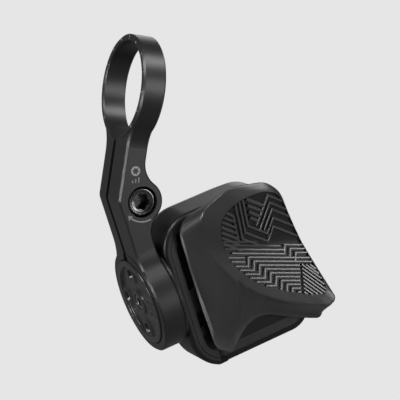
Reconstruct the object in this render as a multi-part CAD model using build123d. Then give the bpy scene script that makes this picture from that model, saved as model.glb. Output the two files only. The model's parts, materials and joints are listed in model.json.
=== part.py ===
"""Wireless thumb shifter for a flat handlebar: clamp band, turnable pod, thumb paddle and electronics.

Row frame: origin at the centre of the handlebar bore, +X along the handlebar towards the pod,
-Y towards the rider, +Z up. The pod is drawn in its own frame, whose X is the axis of the pod ring,
and is then placed by POD.
"""
from build123d import *
import math
import os

# Clamp band -----------------------------------------------------------------------------------
BAR_BORE_R = 11.1          # half of a 22.2 mm handlebar
BAR_RING_WALL = 1.65
POD_BORE_R = 10.85
POD_RING_WALL = 2.2
BAND_W = 5.8               # width of both rings
ARM_W = 5.4                # the arms are a little narrower
ARM_FRONT = 7.8            # front arm's outer face, from the slit plane
ARM_REAR = 5.3             # rear arm's outer face
SLIT_W = 1.4
BEND_DROP = 26.0           # handlebar centre down to the bend in the arms
LOWER_ARM = 26.8           # bend down to the pod ring's centre
POD_CANT = 27.5            # angle of the pod ring's axis above the handlebar's
RING_BLEND_R = 8.0         # where the arms leave a ring
BAR_THROAT_LEN = 4.5       # where the slit opens out into the handlebar's ring
BAR_THROAT_W = 15.0
POD_THROAT_LEN = 1.8
POD_THROAT_W = 3.2
BAND_EDGE = 0.45           # chamfer round the band's outer edges
BORE_EDGE = 0.25

# Clamp bolt -----------------------------------------------------------------------------------
BOLT_X = 3.3               # the bolt stands beside the arms' centre line
BOSS_R = 5.2
BOSS_BLEND_R = 6.0
BOLT_R = 2.0
HEAD_R = 3.45
HEAD_H = 3.8
HEAD_SUNK = 0.5
HEAD_GAP = 0.3             # radial gap in the counterbore
BOLT_HOLE_GAP = 0.2        # clearance hole in the front arm
THREAD_GAP = 0.02          # tapped hole in the rear arm
BOLT_END_INSET = 0.4       # bolt's end inside the rear arm's face
SOCKET_R = 2.2
SOCKET_DEPTH = 2.4

# Mount hub ------------------------------------------------------------------------------------
HUB_FIT = 0.05
HUB_PROUD = 0.35           # end face beyond the band's face
HUB_DISH_R = 8.9
HUB_DISH_DEPTH = 0.5
COLLAR_R = 12.4
COLLAR_T = 0.8
COLLAR_GAP = 0.1
HUB_SCREW_CIRCLE_R = 7.2
HUB_SCREW_HEAD_R = 1.25
HUB_SCREW_HEAD_T = 1.2
HUB_SCREW_SUNK = 1.0       # head's face below the hub's end face
HUB_SCREW_FIT = 0.1
HUB_SCREW_R = 0.8
HUB_SCREW_L = 8.0
HUB_SCREW_SOCKET_R = 0.7
HUB_SCREW_SOCKET_DEPTH = 0.7
HUB_PLUG_R = 1.9
HUB_PLUG_L = 3.4
HUB_PLUG_SUNK = 0.2
HUB_PLUG_BORE_R = 1.1
HUB_PLUG_BORE_DEPTH = 1.8

# Pod housing ----------------------------------------------------------------------------------
HOUSING_LEN = 32.6         # along the pod axis
HOUSING_TOP = 18.4
HOUSING_BOTTOM = 21.5
HOUSING_BACK = 13.0        # away from the rider
HOUSING_FRONT = 8.0        # the rim, towards the rider
HOUSING_WALL = 1.8
BACK_WALL = 3.0
INNER_CORNER_R = 9.0       # corners beside the ring
BACK_CORNER_R = 11.0       # the same corners at the back
OUTER_CORNER_R = 5.0       # bottom corner at the far end
TOP_CORNER_R = 8.4         # top corner at the far end
BACK_EDGE_R = 2.0
RIM_EDGE_R = 1.1
TAPER_START = 2.0          # depth at which the top starts to slope down
TOP_DROP = 3.2             # how far it has come down at the back
NEAR_DROP = 1.5            # how far the side beside the ring has come in at the back
CHIN_START = 5.0           # depth at which the sloped chin leaves the bottom
CHIN_RISE = 12.5           # where the chin meets the rim's level, below the pod axis
CHIN_INSET = 9.0           # from the housing's end beside the ring
CHIN_LAP = 1.5             # how far the deck's chin runs up behind its face
CHIN_RAMP = 4.0            # over which the rim comes down to the chin
SOLE_BEVEL = 1.0           # bevel under the rim, and its depth
SOLE_BEVEL_DEPTH = 2.5
LEDGE_W = 1.2
BORDER_W = 1.5             # the deck's border, level with the rim
LEDGE_T = 1.2
POST_R = 2.2
ROOT = 0.2                 # how far ribs and posts run into the wall they grow from

# Paddle deck and pivot ------------------------------------------------------------------------
DECK_SUNK = 1.6            # below the rim
DECK_T = 1.6
DECK_FIT = 0.12
GASKET_T = 0.6
BRIDGE_BOTTOM = 5.7        # the bridge from the deck to the rim, beside the pivot
BRIDGE_H = 5.9
PIVOT_DEPTH = 9.2
PIVOT_DROP = 1.0
PIN_R = 1.0
PIN_FIT = 0.04
EAR_INSET = 8.0            # from the housing's end beside the ring
EAR_INSET_FAR = 3.0
EAR_W = 3.6
EAR_T = 1.8
BARREL_WALL = 1.0
BARREL_END_GAP = 0.3

# Paddle carrier and plungers ------------------------------------------------------------------
CARRIER_T = 1.1
CARRIER_HALF_H = 7.9
PLUNGER_X = 22.5
PLUNGER_ARM = 7.0          # plunger's distance from the pivot, across it
PLUNGER_R = 1.4
PLUNGER_TIP_R = 0.4
PLUNGER_GAP = 0.15         # room for the nub's edge, which dips as the paddle tilts
PLUNGER_FIT = 0.06
PLUNGER_COLLAR_R = 2.0
PLUNGER_COLLAR_T = 0.7
NUB_R = 1.5
NUB_TIP = 8.0
SEAL_WALL = 0.9
SEAL_T = 0.8

# Thumb paddle ---------------------------------------------------------------------------------
PADDLE_GAP = 1.1           # skirt's edge in front of the housing's rim, room for the tilt
PADDLE_HEIGHT = 8.0
PADDLE_WALL = 1.5
VALLEY_DEPTH = 3.2
VALLEY_X = 17.0            # a point on the valley between the two facets
VALLEY_Z = 8.0
VALLEY_FALL = 15.5         # degrees the valley drops along the pod axis
UPPER_FACET = 13.0         # degrees
LOWER_FACET = 8.0
# Corners in pairs, skirt's edge then face's edge, with X from the housing's far or near end.
FAR_CORNERS = [((-14.5, 20.0), (-14.2, 23.0)), ((-4.6, 18.6), (-5.1, 20.6)), ((-1.2, 15.8), (-2.2, 17.6)),
               ((3.2, -16.0), (3.5, -13.5)), ((1.0, -19.8), (2.0, -16.2)), ((-2.6, -18.2), (-2.9, -13.8))]
NEAR_CORNERS = [((20.4, -12.9), (22.7, -9.6)), ((17.4, -12.4), (18.7, -6.3)), ((12.3, -14.8), (15.7, -3.5)),
                ((8.8, -18.2), (13.2, -1.0)), ((4.8, -15.5), (9.8, 5.5)), ((4.6, 15.4), (8.2, 16.0)),
                ((6.6, 17.9), (10.0, 19.6))]
PADDLE_SCREW_R = 0.8
PADDLE_SCREW_HEAD_R = 1.5
PADDLE_SCREW_HEAD_H = 0.9
PADDLE_SCREW_GRIP = 1.2
PADDLE_SCREW_Z = 4.6
PADDLE_SCREW_INSET = 2.6

# Electronics ----------------------------------------------------------------------------------
BOARD_T = 1.0
BOARD_GAP = 1.5            # board's edge from the housing's wall
BOARD_BEHIND_DECK = 5.0
SWITCH_SIZE = 6.0
SWITCH_H = 3.5
SWITCH_WELL_R = 2.3
SWITCH_WELL = 1.0
PLUNGER_ENTRY = 0.5        # how far the plunger stands in the switch's well
RADIO_L = 11.5
RADIO_W = 5.8
RADIO_T = 1.8
RADIO_X = 13.5
RADIO_Z = 9.3
BUTTON_R = 2.6
BUTTON_FIT = 0.08
BUTTON_FLANGE = 0.7
BUTTON_FLANGE_T = 0.8
BUTTON_PROUD = 0.8
BUTTON_TRAVEL = 0.4
BUTTON_Y = 4.0
BUTTON_Z = 6.5
BUTTON_SWITCH_L = 2.8
BUTTON_SWITCH_W = 4.0
LIGHT_R = 0.9
LIGHT_BELOW_BUTTON = 5.5
LIGHT_PROUD = 0.1
LIGHT_INSIDE = 1.0         # how far the light pipe stands inside the wall
DECK_SCREW_R = 0.8
DECK_SCREW_HEAD_R = 1.5
DECK_SCREW_HEAD_H = 0.8
DECK_SCREW_L = 6.0
DECK_SCREW_END_GAP = 0.5
NEAR_SCREWS = [(5.8, 13.4), (5.1, -11.0)]          # X from the housing's near end
FAR_SCREWS = [(-6.4, 13.6), (-3.4, -9.0)]          # X from its far end

# Battery --------------------------------------------------------------------------------------
CELL_R = 10.0              # CR2032
CELL_T = 3.2
CELL_X = 20.0
CELL_DROP = 1.0
CELL_FIT = 0.25
CELL_PLAY = 0.15
CELL_CAN_STEP = 0.6        # height of the smaller negative cap
CELL_CAP_INSET = 1.2
HOLDER_SEAT = 0.05         # holder's outside beyond the door's opening, which it seats round
HOLDER_FOOT = 1.3
HOLDER_FLOOR = 0.8
CONTACT_T = 0.25
CONTACT_W = 4.0
CONTACT_TOP_GAP = 0.3
CONTACT_ROOM = 9.0         # cut through the holder's side for the contact
DIMPLE_INSET = 0.5
SPRING_RISE = 0.75         # from the holder's floor to the cell
DOOR_R = 11.4
DOOR_FIT = 0.1
DOOR_PROUD = 0.5
DOOR_T = 3.2
DOOR_LUG = 0.9
DOOR_LUG_T = 1.0
DOOR_LUG_DEG = 26.0
DOOR_TURN = 60.0
LUG_BEHIND_FACE = 2.2
LUG_FIT = 0.15
COIN_SLOT_W = 2.2
COIN_SLOT_L = 15.0
COIN_SLOT_DEPTH = 1.3
DOOR_EDGE_R = 0.4
DOOR_SEAL_R = 0.5
DOOR_SEAL_BEHIND_FACE = 0.75
DOOR_SEAL_GAP = 0.02
DOOR_SEAL_SQUEEZE = 0.01

# Places worked out from the sizes above -------------------------------------------------------
CANT = math.radians(POD_CANT)
POD_X = LOWER_ARM * math.sin(CANT)
POD_Z = -BEND_DROP - LOWER_ARM * math.cos(CANT)
POD = Location((POD_X, 0, POD_Z), (0, -POD_CANT, 0))
HALF_W = BAND_W / 2
HALF_ARM = ARM_W / 2
HUB_R = POD_BORE_R - HUB_FIT
HUB_FACE = -HALF_W - HUB_PROUD
HUB_SCREW_X = HUB_FACE + HUB_SCREW_SUNK
COLLAR_X = HALF_W + COLLAR_GAP
HOUSING_X0 = COLLAR_X + COLLAR_T
HOUSING_X1 = HOUSING_X0 + HOUSING_LEN
DECK_Y0 = -HOUSING_FRONT + DECK_SUNK               # deck's face towards the paddle
DECK_Y1 = DECK_Y0 + DECK_T
BOARD_Y0 = DECK_Y1 + BOARD_BEHIND_DECK
BOARD_Y1 = BOARD_Y0 + BOARD_T
SWITCH_TOP = BOARD_Y0 - SWITCH_H
PIVOT_Y = -PIVOT_DEPTH
PIVOT_Z = -PIVOT_DROP
BARREL_R = PIN_R + PIN_FIT + BARREL_WALL
CARRIER_Y1 = PIVOT_Y - BARREL_R / 2
CARRIER_Y0 = CARRIER_Y1 - CARRIER_T
EAR_X0 = HOUSING_X0 + EAR_INSET
EAR_X1 = HOUSING_X1 - EAR_INSET_FAR
CARRIER_X0 = EAR_X0 + EAR_T + BARREL_END_GAP
CARRIER_X1 = EAR_X1 - EAR_T - BARREL_END_GAP
PLUNGER_ZS = {"upper": PIVOT_Z + PLUNGER_ARM, "lower": PIVOT_Z - PLUNGER_ARM}
PADDLE_Y1 = -HOUSING_FRONT - PADDLE_GAP
PADDLE_Y0 = PADDLE_Y1 - PADDLE_HEIGHT
PADDLE_SCREW_XS = (CARRIER_X0 + PADDLE_SCREW_INSET, CARRIER_X1 - PADDLE_SCREW_INSET)
CELL_Z = -CELL_DROP
DOOR_Y1 = HOUSING_BACK + DOOR_PROUD
DOOR_Y0 = DOOR_Y1 - DOOR_T
CELL_Y1 = DOOR_Y0 - CELL_PLAY
CELL_Y0 = CELL_Y1 - CELL_T
FLOOR_Y1 = CELL_Y0 - SPRING_RISE
INNER_BACK = HOUSING_BACK - BACK_WALL
LUG_Y0 = HOUSING_BACK - LUG_BEHIND_FACE
BUTTON_FLANGE_X1 = HOUSING_X1 - HOUSING_WALL - DECK_FIT
DECK_SCREWS = [(HOUSING_X0 + x, z) for x, z in NEAR_SCREWS] + [(HOUSING_X1 + x, z) for x, z in FAR_SCREWS]
CUT = 1.0                  # how far a cutter runs past the face it opens


ON_END = (Align.CENTER, Align.CENTER, Align.MIN)


def x_rod(radius, x0, x1, y=0.0, z=0.0):
    """A round bar along X."""
    return Pos(x0, y, z) * Rot(0, 90, 0) * Cylinder(radius, x1 - x0, align=ON_END)


def y_rod(radius, y0, y1, x=0.0, z=0.0):
    """A round bar along Y."""
    return Pos(x, y0, z) * Rot(-90, 0, 0) * Cylinder(radius, y1 - y0, align=ON_END)


def block(x0, x1, y0, y1, z0, z1):
    """A box from its lowest corner to its highest."""
    corner = (Align.MIN, Align.MIN, Align.MIN)
    return Pos(x0, y0, z0) * Box(x1 - x0, y1 - y0, z1 - z0, align=corner)


def y_prism(sketch, y0, y1):
    """An outline drawn in X and Z, made solid from y0 to y1."""
    return extrude(Plane((0, y1, 0), x_dir=(1, 0, 0), z_dir=(0, -1, 0)) * sketch, y1 - y0, dir=(0, -1, 0))


def x_prism(sketch, x0, x1):
    """An outline drawn in Y and Z, made solid from x0 to x1."""
    return extrude(Plane((x0, 0, 0), x_dir=(0, 1, 0), z_dir=(1, 0, 0)) * sketch, x1 - x0, dir=(1, 0, 0))


def group(solids):
    """Separate solids that share one node."""
    return Compound(children=list(solids))


# Clamp band and bolt --------------------------------------------------------------------------
def arm_outline():
    """The bent arm seen along the bolt, with the bolt boss blended into its outer side."""
    lower = Location((POD_X, POD_Z, 0), (0, 0, POD_CANT))
    upper = Pos(0, -BEND_DROP / 2) * Rectangle(ARM_W, BEND_DROP)
    lower_arm = lower * Pos(0, LOWER_ARM / 2) * Rectangle(ARM_W, LOWER_ARM)
    elbow = Pos(0, -BEND_DROP) * Circle(HALF_ARM)
    sketch = upper + lower_arm + elbow + Pos(BOLT_X, -BEND_DROP) * Circle(BOSS_R)
    centre = Vector(BOLT_X, -BEND_DROP, 0)
    joins = [v for v in sketch.vertices()
             if v.X > HALF_ARM * 0.9 and abs((Vector(v.X, v.Y, 0) - centre).length - BOSS_R) < 0.01]
    return fillet(joins, BOSS_BLEND_R)


def arm_side(ring_r, length, way):
    """A ring and its two arms seen along the ring's axis, blended where they leave the ring."""
    arms = Pos((ARM_REAR - ARM_FRONT) / 2, way * length / 2) * Rectangle(ARM_FRONT + ARM_REAR, length)
    sketch = Circle(ring_r) + arms
    joins = [v for v in sketch.vertices() if abs(math.hypot(v.X, v.Y) - ring_r) < 0.01 and v.Y * way > 1]
    return fillet(joins, RING_BLEND_R)


def throat(half_mouth, start, length):
    """The wedge where the slit widens as it enters a ring, drawn in Y and Z."""
    end = start - length
    half_slit = SLIT_W / 2
    return Polygon((-half_mouth, start), (half_mouth, start), (half_slit, end), (-half_slit, end), align=None)


def is_bore_edge(edge):
    return min(abs(edge.radius - BAR_BORE_R), abs(edge.radius - POD_BORE_R)) < 0.001


def ends_chamfered(blank, axis):
    """A prism with the band's chamfer round both of its ends."""
    ends = blank.faces().sort_by(axis)
    return chamfer(ends[0].edges() + ends[-1].edges(), BAND_EDGE)


def clamp_band():
    bar_ring_r = BAR_BORE_R + BAR_RING_WALL
    pod_ring_r = POD_BORE_R + POD_RING_WALL
    band = ends_chamfered(y_prism(arm_outline(), -ARM_FRONT, ARM_REAR), Axis.Y)
    band += ends_chamfered(x_prism(arm_side(bar_ring_r, BEND_DROP, -1), -HALF_ARM, HALF_ARM), Axis.X)
    band += POD * ends_chamfered(x_prism(arm_side(pod_ring_r, LOWER_ARM, 1), -HALF_ARM, HALF_ARM), Axis.X)
    band += ends_chamfered(x_rod(bar_ring_r, -HALF_W, HALF_W), Axis.X)
    band += POD * ends_chamfered(x_rod(pod_ring_r, -HALF_W, HALF_W), Axis.X)
    band -= x_rod(BAR_BORE_R, -BAND_W, BAND_W)
    band -= POD * x_rod(POD_BORE_R, -BAND_W, BAND_W)
    band = chamfer(band.edges().filter_by(GeomType.CIRCLE).filter_by(is_bore_edge), BORE_EDGE)
    bar_start = math.sqrt(BAR_BORE_R ** 2 - (BAR_THROAT_W / 2) ** 2)
    pod_start = math.sqrt(POD_BORE_R ** 2 - (POD_THROAT_W / 2) ** 2)
    reach = BAND_W * 2
    band -= block(-reach, reach, -SLIT_W / 2, SLIT_W / 2, -BEND_DROP, CUT - bar_start)
    band -= POD * block(-reach, reach, -SLIT_W / 2, SLIT_W / 2, pod_start - CUT, LOWER_ARM + HALF_ARM)
    band -= x_prism(throat(BAR_THROAT_W / 2, -bar_start, BAR_THROAT_LEN), -reach, reach)
    pod_throat = Rot(0, 0, 180) * throat(POD_THROAT_W / 2, -pod_start, POD_THROAT_LEN)
    band -= POD * x_prism(pod_throat, -reach, reach)
    head_seat = -ARM_FRONT + HEAD_SUNK + HEAD_H
    band -= y_rod(HEAD_R + HEAD_GAP, -ARM_FRONT - CUT, head_seat, BOLT_X, -BEND_DROP)
    band -= y_rod(BOLT_R + BOLT_HOLE_GAP, head_seat - CUT, 0, BOLT_X, -BEND_DROP)
    band -= y_rod(BOLT_R + THREAD_GAP, 0, ARM_REAR + CUT, BOLT_X, -BEND_DROP)
    return band


def six_lobe(radius):
    """A six-lobe drive outline."""
    sketch = Circle(radius * 0.8)
    for turn in range(6):
        sketch += Rot(0, 0, 60 * turn) * Pos(radius * 0.78, 0) * Circle(radius * 0.22)
    return sketch


def clamp_bolt():
    top = -ARM_FRONT + HEAD_SUNK
    bolt = y_rod(HEAD_R, top, top + HEAD_H, BOLT_X, -BEND_DROP)
    bolt += y_rod(BOLT_R, top + HEAD_H, ARM_REAR - BOLT_END_INSET, BOLT_X, -BEND_DROP)
    bolt -= y_prism(Pos(BOLT_X, -BEND_DROP) * six_lobe(SOCKET_R), top - CUT, top + SOCKET_DEPTH)
    return bolt


# Mount hub ------------------------------------------------------------------------------------
def hub_screw_places():
    """Three screws at quarter turns; the fourth quarter carries the index marks."""
    return [(HUB_SCREW_CIRCLE_R * math.cos(a), HUB_SCREW_CIRCLE_R * math.sin(a))
            for a in (math.pi / 2, 0.0, -math.pi / 2)]


def mount_hub():
    hub = x_rod(HUB_R, HUB_FACE, COLLAR_X)
    hub += x_rod(COLLAR_R, COLLAR_X, HOUSING_X0)
    hub -= x_rod(HUB_DISH_R, HUB_FACE - CUT, HUB_FACE + HUB_DISH_DEPTH)
    hub -= x_rod(HUB_PLUG_R, HUB_FACE, HUB_FACE + HUB_PLUG_L)
    for y, z in hub_screw_places():
        hub -= x_rod(HUB_SCREW_HEAD_R + HUB_SCREW_FIT, HUB_FACE - CUT, HUB_SCREW_X + HUB_SCREW_HEAD_T, y, z)
        hub -= x_rod(HUB_SCREW_R, HUB_FACE, HOUSING_X0 + CUT, y, z)
    return hub


def hub_screws():
    screws = []
    for y, z in hub_screw_places():
        head_end = HUB_SCREW_X + HUB_SCREW_HEAD_T
        head = x_rod(HUB_SCREW_HEAD_R, HUB_SCREW_X, head_end, y, z)
        socket = Pos(y, z) * six_lobe(HUB_SCREW_SOCKET_R)
        head -= x_prism(socket, HUB_FACE, HUB_SCREW_X + HUB_SCREW_SOCKET_DEPTH)
        screws.append(head + x_rod(HUB_SCREW_R, head_end, HUB_FACE + HUB_SCREW_L, y, z))
    return group(screws)


def hub_plug():
    face = HUB_FACE + HUB_PLUG_SUNK
    plug = x_rod(HUB_PLUG_R, face, HUB_FACE + HUB_PLUG_L)
    return plug - x_rod(HUB_PLUG_BORE_R, face - CUT, face + HUB_PLUG_BORE_DEPTH)


# Pod housing ----------------------------------------------------------------------------------
def housing_outline(inset, back=0.0):
    """The housing seen from the rider, with larger corners beside the ring; back is 0 to 1 rearwards."""
    x0 = HOUSING_X0 + inset + NEAR_DROP * back
    x1 = HOUSING_X1 - inset
    z0 = -HOUSING_BOTTOM + inset
    z1 = HOUSING_TOP - inset - TOP_DROP * back
    near_r = INNER_CORNER_R + (BACK_CORNER_R - INNER_CORNER_R) * back - inset
    sketch = Pos((x0 + x1) / 2, (z0 + z1) / 2) * Rectangle(x1 - x0, z1 - z0)
    sketch = fillet(sketch.vertices().group_by(Axis.X)[0], near_r)
    far_corners = sketch.vertices().group_by(Axis.X)[-1].sort_by(Axis.Y)
    sketch = fillet(far_corners[-1], TOP_CORNER_R - inset)
    far_bottom = sketch.vertices().group_by(Axis.X)[-1].sort_by(Axis.Y)[0]
    return fillet(far_bottom, OUTER_CORNER_R - inset)


def housing_form(inset, y0, y1):
    """The housing's form, straight as far as TAPER_START and drawn in behind it."""
    back = (y1 - TAPER_START) / (HOUSING_BACK - TAPER_START)
    sections = []
    for y, share in ((TAPER_START, 0.0), (y1, back)):
        sections.append(Plane((0, y, 0), x_dir=(1, 0, 0), z_dir=(0, -1, 0)) * housing_outline(inset, share))
    return y_prism(housing_outline(inset), y0, TAPER_START) + loft(sections, ruled=True)


def chin_outline(front, back, depth):
    """The chin's slope in Y and Z: from front to back behind the slope, and depth past the bottom."""
    rise = (HOUSING_FRONT - CHIN_START) / (HOUSING_BOTTOM - CHIN_RISE)
    low = -HOUSING_BOTTOM - depth
    points = [(front, -CHIN_RISE), (-HOUSING_FRONT, -CHIN_RISE), (-CHIN_START + rise * depth, low),
              (back, low), (back, -CHIN_RISE + CHIN_LAP), (front, -CHIN_RISE + CHIN_LAP)]
    return Polygon(*points, align=None)


def posts(radius, y0, y1):
    """Round posts or holes at the deck screws."""
    return [y_rod(radius, y0, y1, x, z) for x, z in DECK_SCREWS]


def door_lugs(reach, y0, y1, turned):
    """The battery door's two bayonet lugs, or the room for them."""
    lugs = []
    for start in (0, 180):
        half = 2 * reach * math.tan(math.radians(DOOR_LUG_DEG / 2))
        wedge = Polygon((0, 0), (2 * reach, half), (2 * reach, -half), align=None)
        sector = (Rot(0, 0, start + turned) * wedge) & Circle(reach)
        lugs.append(y_prism(Pos(CELL_X, CELL_Z) * sector, y0, y1))
    return lugs


def rim_cuts():
    """The bevel under the rim, and the slope of the chin, which the rim comes down to over a ramp."""
    front = -HOUSING_FRONT - CUT
    low = -HOUSING_BOTTOM
    far = HOUSING_X1 + CUT
    bevel = Polygon((-HOUSING_FRONT, low + SOLE_BEVEL), (-HOUSING_FRONT, low - CUT), (0, low - CUT), (0, low),
                    (SOLE_BEVEL_DEPTH - HOUSING_FRONT, low), align=None)
    slope = Polygon((-HOUSING_FRONT, -CHIN_RISE), (front, -CHIN_RISE), (front, low), (-CHIN_START, low),
                    align=None)
    ramp_x = HOUSING_X0 + CHIN_INSET
    ramp = Polygon((ramp_x - CHIN_RAMP, front), (far, front), (far, -CHIN_START), (ramp_x, -CHIN_START),
                   align=None)
    chin = x_prism(slope, HOUSING_X0, far) & (Pos(0, 0, low) * extrude(ramp, HOUSING_BOTTOM))
    return [x_prism(bevel, HOUSING_X0 - CUT, far), chin]


def base_housing():
    form = housing_form(0, -HOUSING_FRONT, HOUSING_BACK)
    form = fillet(form.faces().sort_by(Axis.Y)[-1].edges(), BACK_EDGE_R)
    form = fillet(form.faces().sort_by(Axis.Y)[0].edges(), RIM_EDGE_R)
    shell = form - housing_form(HOUSING_WALL, -HOUSING_FRONT - CUT, INNER_BACK)
    for cut in rim_cuts():
        shell -= cut
    ledge_y = DECK_Y1 + GASKET_T
    ledge = housing_outline(HOUSING_WALL - ROOT) - housing_outline(HOUSING_WALL + LEDGE_W)
    shell += y_prism(ledge, ledge_y, ledge_y + LEDGE_T)
    for post in posts(POST_R, DECK_Y1, INNER_BACK + ROOT):
        shell += post & form
    for hole in posts(DECK_SCREW_R, DECK_Y1 - CUT, DECK_Y1 + DECK_SCREW_L):
        shell -= hole
    for y, z in hub_screw_places():
        shell -= x_rod(HUB_SCREW_R, HOUSING_X0 - CUT, HOUSING_X0 + HOUSING_WALL + CUT, y, z)
    shell -= y_rod(DOOR_R + DOOR_FIT, INNER_BACK - CUT, HOUSING_BACK + CUT, CELL_X, CELL_Z)
    groove_r = DOOR_R + DOOR_LUG + LUG_FIT
    shell -= y_rod(groove_r, LUG_Y0 - LUG_FIT, LUG_Y0 + DOOR_LUG_T + LUG_FIT, CELL_X, CELL_Z)
    for notch in door_lugs(groove_r, LUG_Y0, HOUSING_BACK + CUT, DOOR_TURN):
        shell -= notch
    inside = HOUSING_X1 - HOUSING_WALL - CUT
    shell -= x_rod(BUTTON_R + BUTTON_FIT, inside, HOUSING_X1 + CUT, BUTTON_Y, BUTTON_Z)
    return shell - x_rod(LIGHT_R, inside, HOUSING_X1 + CUT, BUTTON_Y, BUTTON_Z - LIGHT_BELOW_BUTTON)


# Paddle deck ----------------------------------------------------------------------------------
def pivot_ear(x):
    ear = block(x, x + EAR_T, PIVOT_Y, DECK_Y1 - DECK_T / 2, PIVOT_Z - EAR_W / 2, PIVOT_Z + EAR_W / 2)
    return ear + x_rod(EAR_W / 2, x, x + EAR_T, PIVOT_Y, PIVOT_Z)


def paddle_deck():
    """The plate that closes the housing: pivot ears, the bridge to the rim, and the chin."""
    inset = HOUSING_WALL + DECK_FIT
    deck = y_prism(housing_outline(inset), DECK_Y0, DECK_Y1)
    chin = x_prism(chin_outline(-HOUSING_FRONT, DECK_Y1, CUT), HOUSING_X0 + CHIN_INSET, HOUSING_X1)
    deck += chin & y_prism(housing_outline(inset), -HOUSING_FRONT - CUT, DECK_Y1)
    border = y_prism(housing_outline(inset) - housing_outline(inset + BORDER_W), -HOUSING_FRONT, DECK_Y1)
    for cut in rim_cuts():
        border -= cut
    deck += border
    deck += block(HOUSING_X0 + inset, EAR_X0 + EAR_T / 2, -HOUSING_FRONT, DECK_Y1,
                  -BRIDGE_BOTTOM, -BRIDGE_BOTTOM + BRIDGE_H)
    for x in (EAR_X0, EAR_X1 - EAR_T):
        deck += pivot_ear(x)
    deck -= x_rod(PIN_R, EAR_X0 - CUT, EAR_X1 + CUT, PIVOT_Y, PIVOT_Z)
    outside = -HOUSING_FRONT - CUT
    for z in PLUNGER_ZS.values():
        deck -= y_rod(PLUNGER_R + PLUNGER_FIT, outside, DECK_Y1 + CUT, PLUNGER_X, z)
        deck -= y_rod(PLUNGER_R + SEAL_WALL, outside, DECK_Y0 + SEAL_T, PLUNGER_X, z)
    for hole in posts(DECK_SCREW_R, outside, DECK_Y1 + CUT):
        deck -= hole
    for seat in posts(DECK_SCREW_HEAD_R + DECK_FIT, outside, DECK_Y0):
        deck -= seat
    return deck


def deck_gasket():
    ring = housing_outline(HOUSING_WALL + DECK_FIT) - housing_outline(HOUSING_WALL + LEDGE_W)
    gasket = y_prism(ring, DECK_Y1, DECK_Y1 + GASKET_T)
    for post in posts(POST_R + DECK_FIT, DECK_Y1 - CUT, DECK_Y1 + CUT):
        gasket -= post
    return gasket


def deck_screws():
    screws = []
    for x, z in DECK_SCREWS:
        head = y_rod(DECK_SCREW_HEAD_R, DECK_Y0 - DECK_SCREW_HEAD_H, DECK_Y0, x, z)
        screws.append(head + y_rod(DECK_SCREW_R, DECK_Y0, DECK_Y1 + DECK_SCREW_L - DECK_SCREW_END_GAP, x, z))
    return group(screws)


def plunger(z):
    """A push rod with a rounded tip and a collar that keeps it behind the deck."""
    end = SWITCH_TOP + PLUNGER_ENTRY
    stem = y_rod(PLUNGER_R, PLUNGER_GAP - NUB_TIP, end, PLUNGER_X, z)
    stem = fillet(stem.edges().group_by(Axis.Y)[0], PLUNGER_TIP_R)
    return stem + y_rod(PLUNGER_COLLAR_R, end - PLUNGER_COLLAR_T, end, PLUNGER_X, z)


def plunger_seals():
    seals = []
    for z in PLUNGER_ZS.values():
        seal = y_rod(PLUNGER_R + SEAL_WALL, DECK_Y0, DECK_Y0 + SEAL_T, PLUNGER_X, z)
        seals.append(seal - y_rod(PLUNGER_R + PLUNGER_FIT, DECK_Y0 - CUT, DECK_Y1, PLUNGER_X, z))
    return group(seals)


# Paddle, carrier and pivot pin ----------------------------------------------------------------
def pivot_pin():
    return x_rod(PIN_R, EAR_X0, EAR_X1, PIVOT_Y, PIVOT_Z)


def paddle_carrier():
    """The plate behind the paddle: pivot barrel, and a nub over each plunger."""
    bottom = PIVOT_Z - CARRIER_HALF_H
    plate = block(CARRIER_X0, CARRIER_X1, CARRIER_Y0, CARRIER_Y1, bottom, bottom + 2 * CARRIER_HALF_H)
    plate += x_rod(BARREL_R, CARRIER_X0, CARRIER_X1, PIVOT_Y, PIVOT_Z)
    for z in PLUNGER_ZS.values():
        plate += y_rod(NUB_R, CARRIER_Y1 - CARRIER_T / 2, -NUB_TIP, PLUNGER_X, z)
    plate -= x_rod(PIN_R + PIN_FIT, CARRIER_X0 - CUT, CARRIER_X1 + CUT, PIVOT_Y, PIVOT_Z)
    for x in PADDLE_SCREW_XS:
        plate -= y_rod(PADDLE_SCREW_R, CARRIER_Y0 - CUT, CARRIER_Y1 + CUT, x, PADDLE_SCREW_Z)
    return plate


def paddle_section(y, inset):
    """The paddle's outline at one depth, between its skirt's edge and its face's edge."""
    part = (PADDLE_Y1 - y) / PADDLE_HEIGHT
    points = []
    for end, corners in ((HOUSING_X1, FAR_CORNERS), (HOUSING_X0, NEAR_CORNERS)):
        for skirt, face in corners:
            x, z = (a + (b - a) * part for a, b in zip(skirt, face))
            points.append((end + x, z))
    outline = Polygon(*points, align=None)
    if inset:
        outline = offset(outline, -inset, kind=Kind.INTERSECTION)
    return Plane((0, y, 0), x_dir=(1, 0, 0), z_dir=(0, -1, 0)) * outline


def paddle_form(y0, y1, inset):
    return loft([paddle_section(y1, inset), paddle_section(y0, inset)], ruled=True)


def valley():
    """The V that the two facets cut into the paddle's face."""
    fall = math.radians(VALLEY_FALL)
    along = (math.cos(fall), 0, -math.sin(fall))
    across = (math.sin(fall), 0, math.cos(fall))
    far = HOUSING_LEN + HOUSING_TOP + HOUSING_BOTTOM
    points = [(0, 0), (far, far * math.tan(math.radians(UPPER_FACET))), (far, far), (-far, far),
              (-far, far * math.tan(math.radians(LOWER_FACET)))]
    plane = Plane((VALLEY_X, PADDLE_Y0 + VALLEY_DEPTH, VALLEY_Z), x_dir=across, z_dir=along)
    return extrude(plane * Polygon(*points, align=None), far, both=True)


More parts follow.
